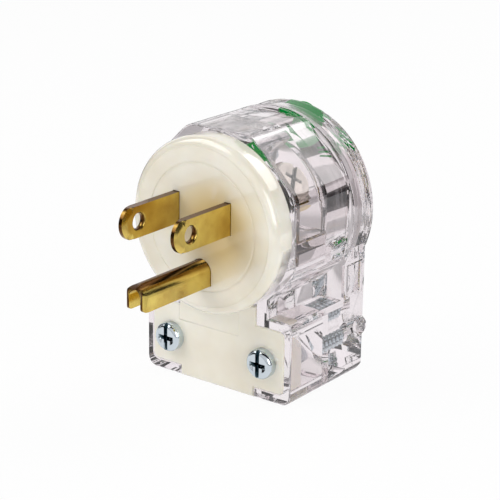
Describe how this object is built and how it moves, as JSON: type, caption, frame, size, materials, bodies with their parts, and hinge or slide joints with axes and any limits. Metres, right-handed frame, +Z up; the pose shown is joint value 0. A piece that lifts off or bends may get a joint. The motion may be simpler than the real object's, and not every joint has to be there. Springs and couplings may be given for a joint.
{
  "type": "angle plug",
  "caption": "Three pin angle plug with a clear octagonal body, an ivory face disc and clamp plate, brass blades and a cord entry in its base.",
  "frame": {"origin": "on the plug's front face, midway between the two flat blades", "axes": "-Y out of the face along the blades, +Z up and away from the cord entry, +X towards the neutral blade"},
  "size_m": [0.04, 0.0514, 0.055],
  "materials": {
    "clear_polycarbonate": "clear moulded, polished",
    "ivory_nylon": "moulded, glossy, a little translucent",
    "brass": "stamped, bright",
    "brass_screw": "bright",
    "nickel_plate": "nickel plated",
    "nickel_screw": "nickel plated",
    "green_screw": "green dyed zinc plate",
    "zinc_screw": "bright zinc plate"
  },
  "bodies": {
    "root": {"block_screw_left": "zinc_screw", "block_screw_right": "zinc_screw", "clamp_plate": "ivory_nylon", "cord_saddle": "clear_polycarbonate", "face_disc": "ivory_nylon", "ground_pin": "brass", "ground_pressure_plate": "brass", "ground_rivet": "brass", "ground_terminal": "brass", "ground_terminal_screw": "green_screw", "housing": "clear_polycarbonate", "line_blade": "brass", "line_pressure_plate": "brass", "line_terminal_screw": "brass_screw", "neutral_blade": "brass", "neutral_pressure_plate": "nickel_plate", "neutral_terminal_screw": "nickel_screw", "plate_screw_left": "zinc_screw", "plate_screw_right": "zinc_screw", "terminal_block": "clear_polycarbonate"}
  },
  "joints": []
}
